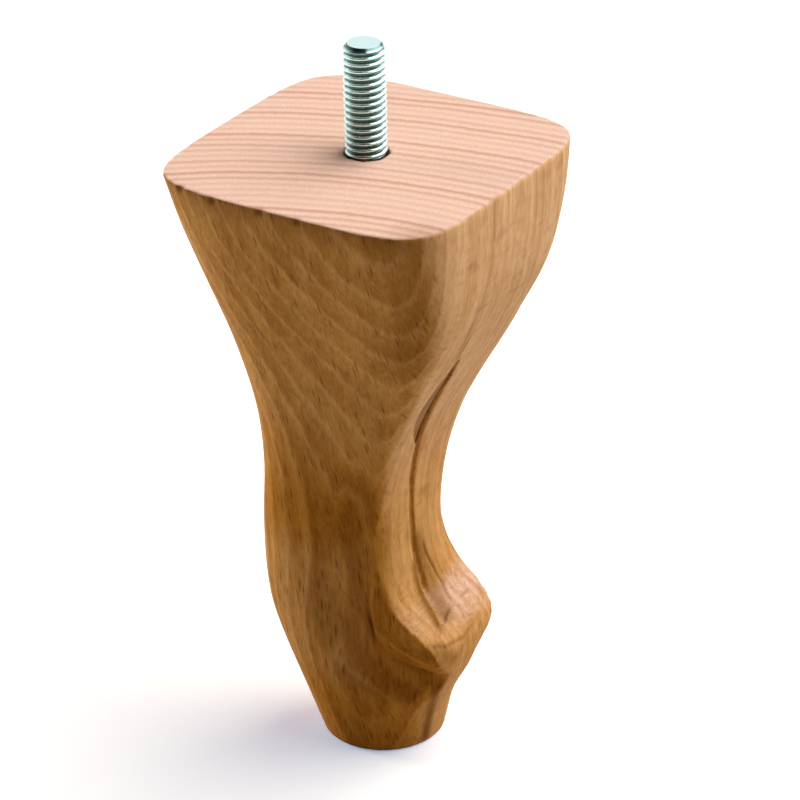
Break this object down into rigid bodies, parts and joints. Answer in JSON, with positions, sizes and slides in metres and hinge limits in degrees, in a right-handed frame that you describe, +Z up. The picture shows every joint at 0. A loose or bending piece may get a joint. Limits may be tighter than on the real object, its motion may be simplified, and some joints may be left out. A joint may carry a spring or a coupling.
{
  "type": "carved dresser leg",
  "caption": "Short carved cabriole leg of solid beech with a square top, a cleft toe, side hollows, a tapered round foot and a threaded steel stud for screwing it under a dresser.",
  "frame": {"origin": "on the floor, under the axis of the stud and the centre of the square top", "axes": "+Z up along the stud, +X towards the carved toe, and the leg is alike on both sides of the XZ plane, apart from the lean of its cleft"},
  "size_m": [0.0599, 0.0598, 0.141],
  "materials": {
    "beech_wood": "bare sanded beech with fine flecks and growth rings",
    "zinc_steel": "zinc-plated steel with a cool blue tint"
  },
  "bodies": {
    "root": {"carved_leg": "beech_wood", "hanger_bolt": "zinc_steel"}
  },
  "joints": []
}
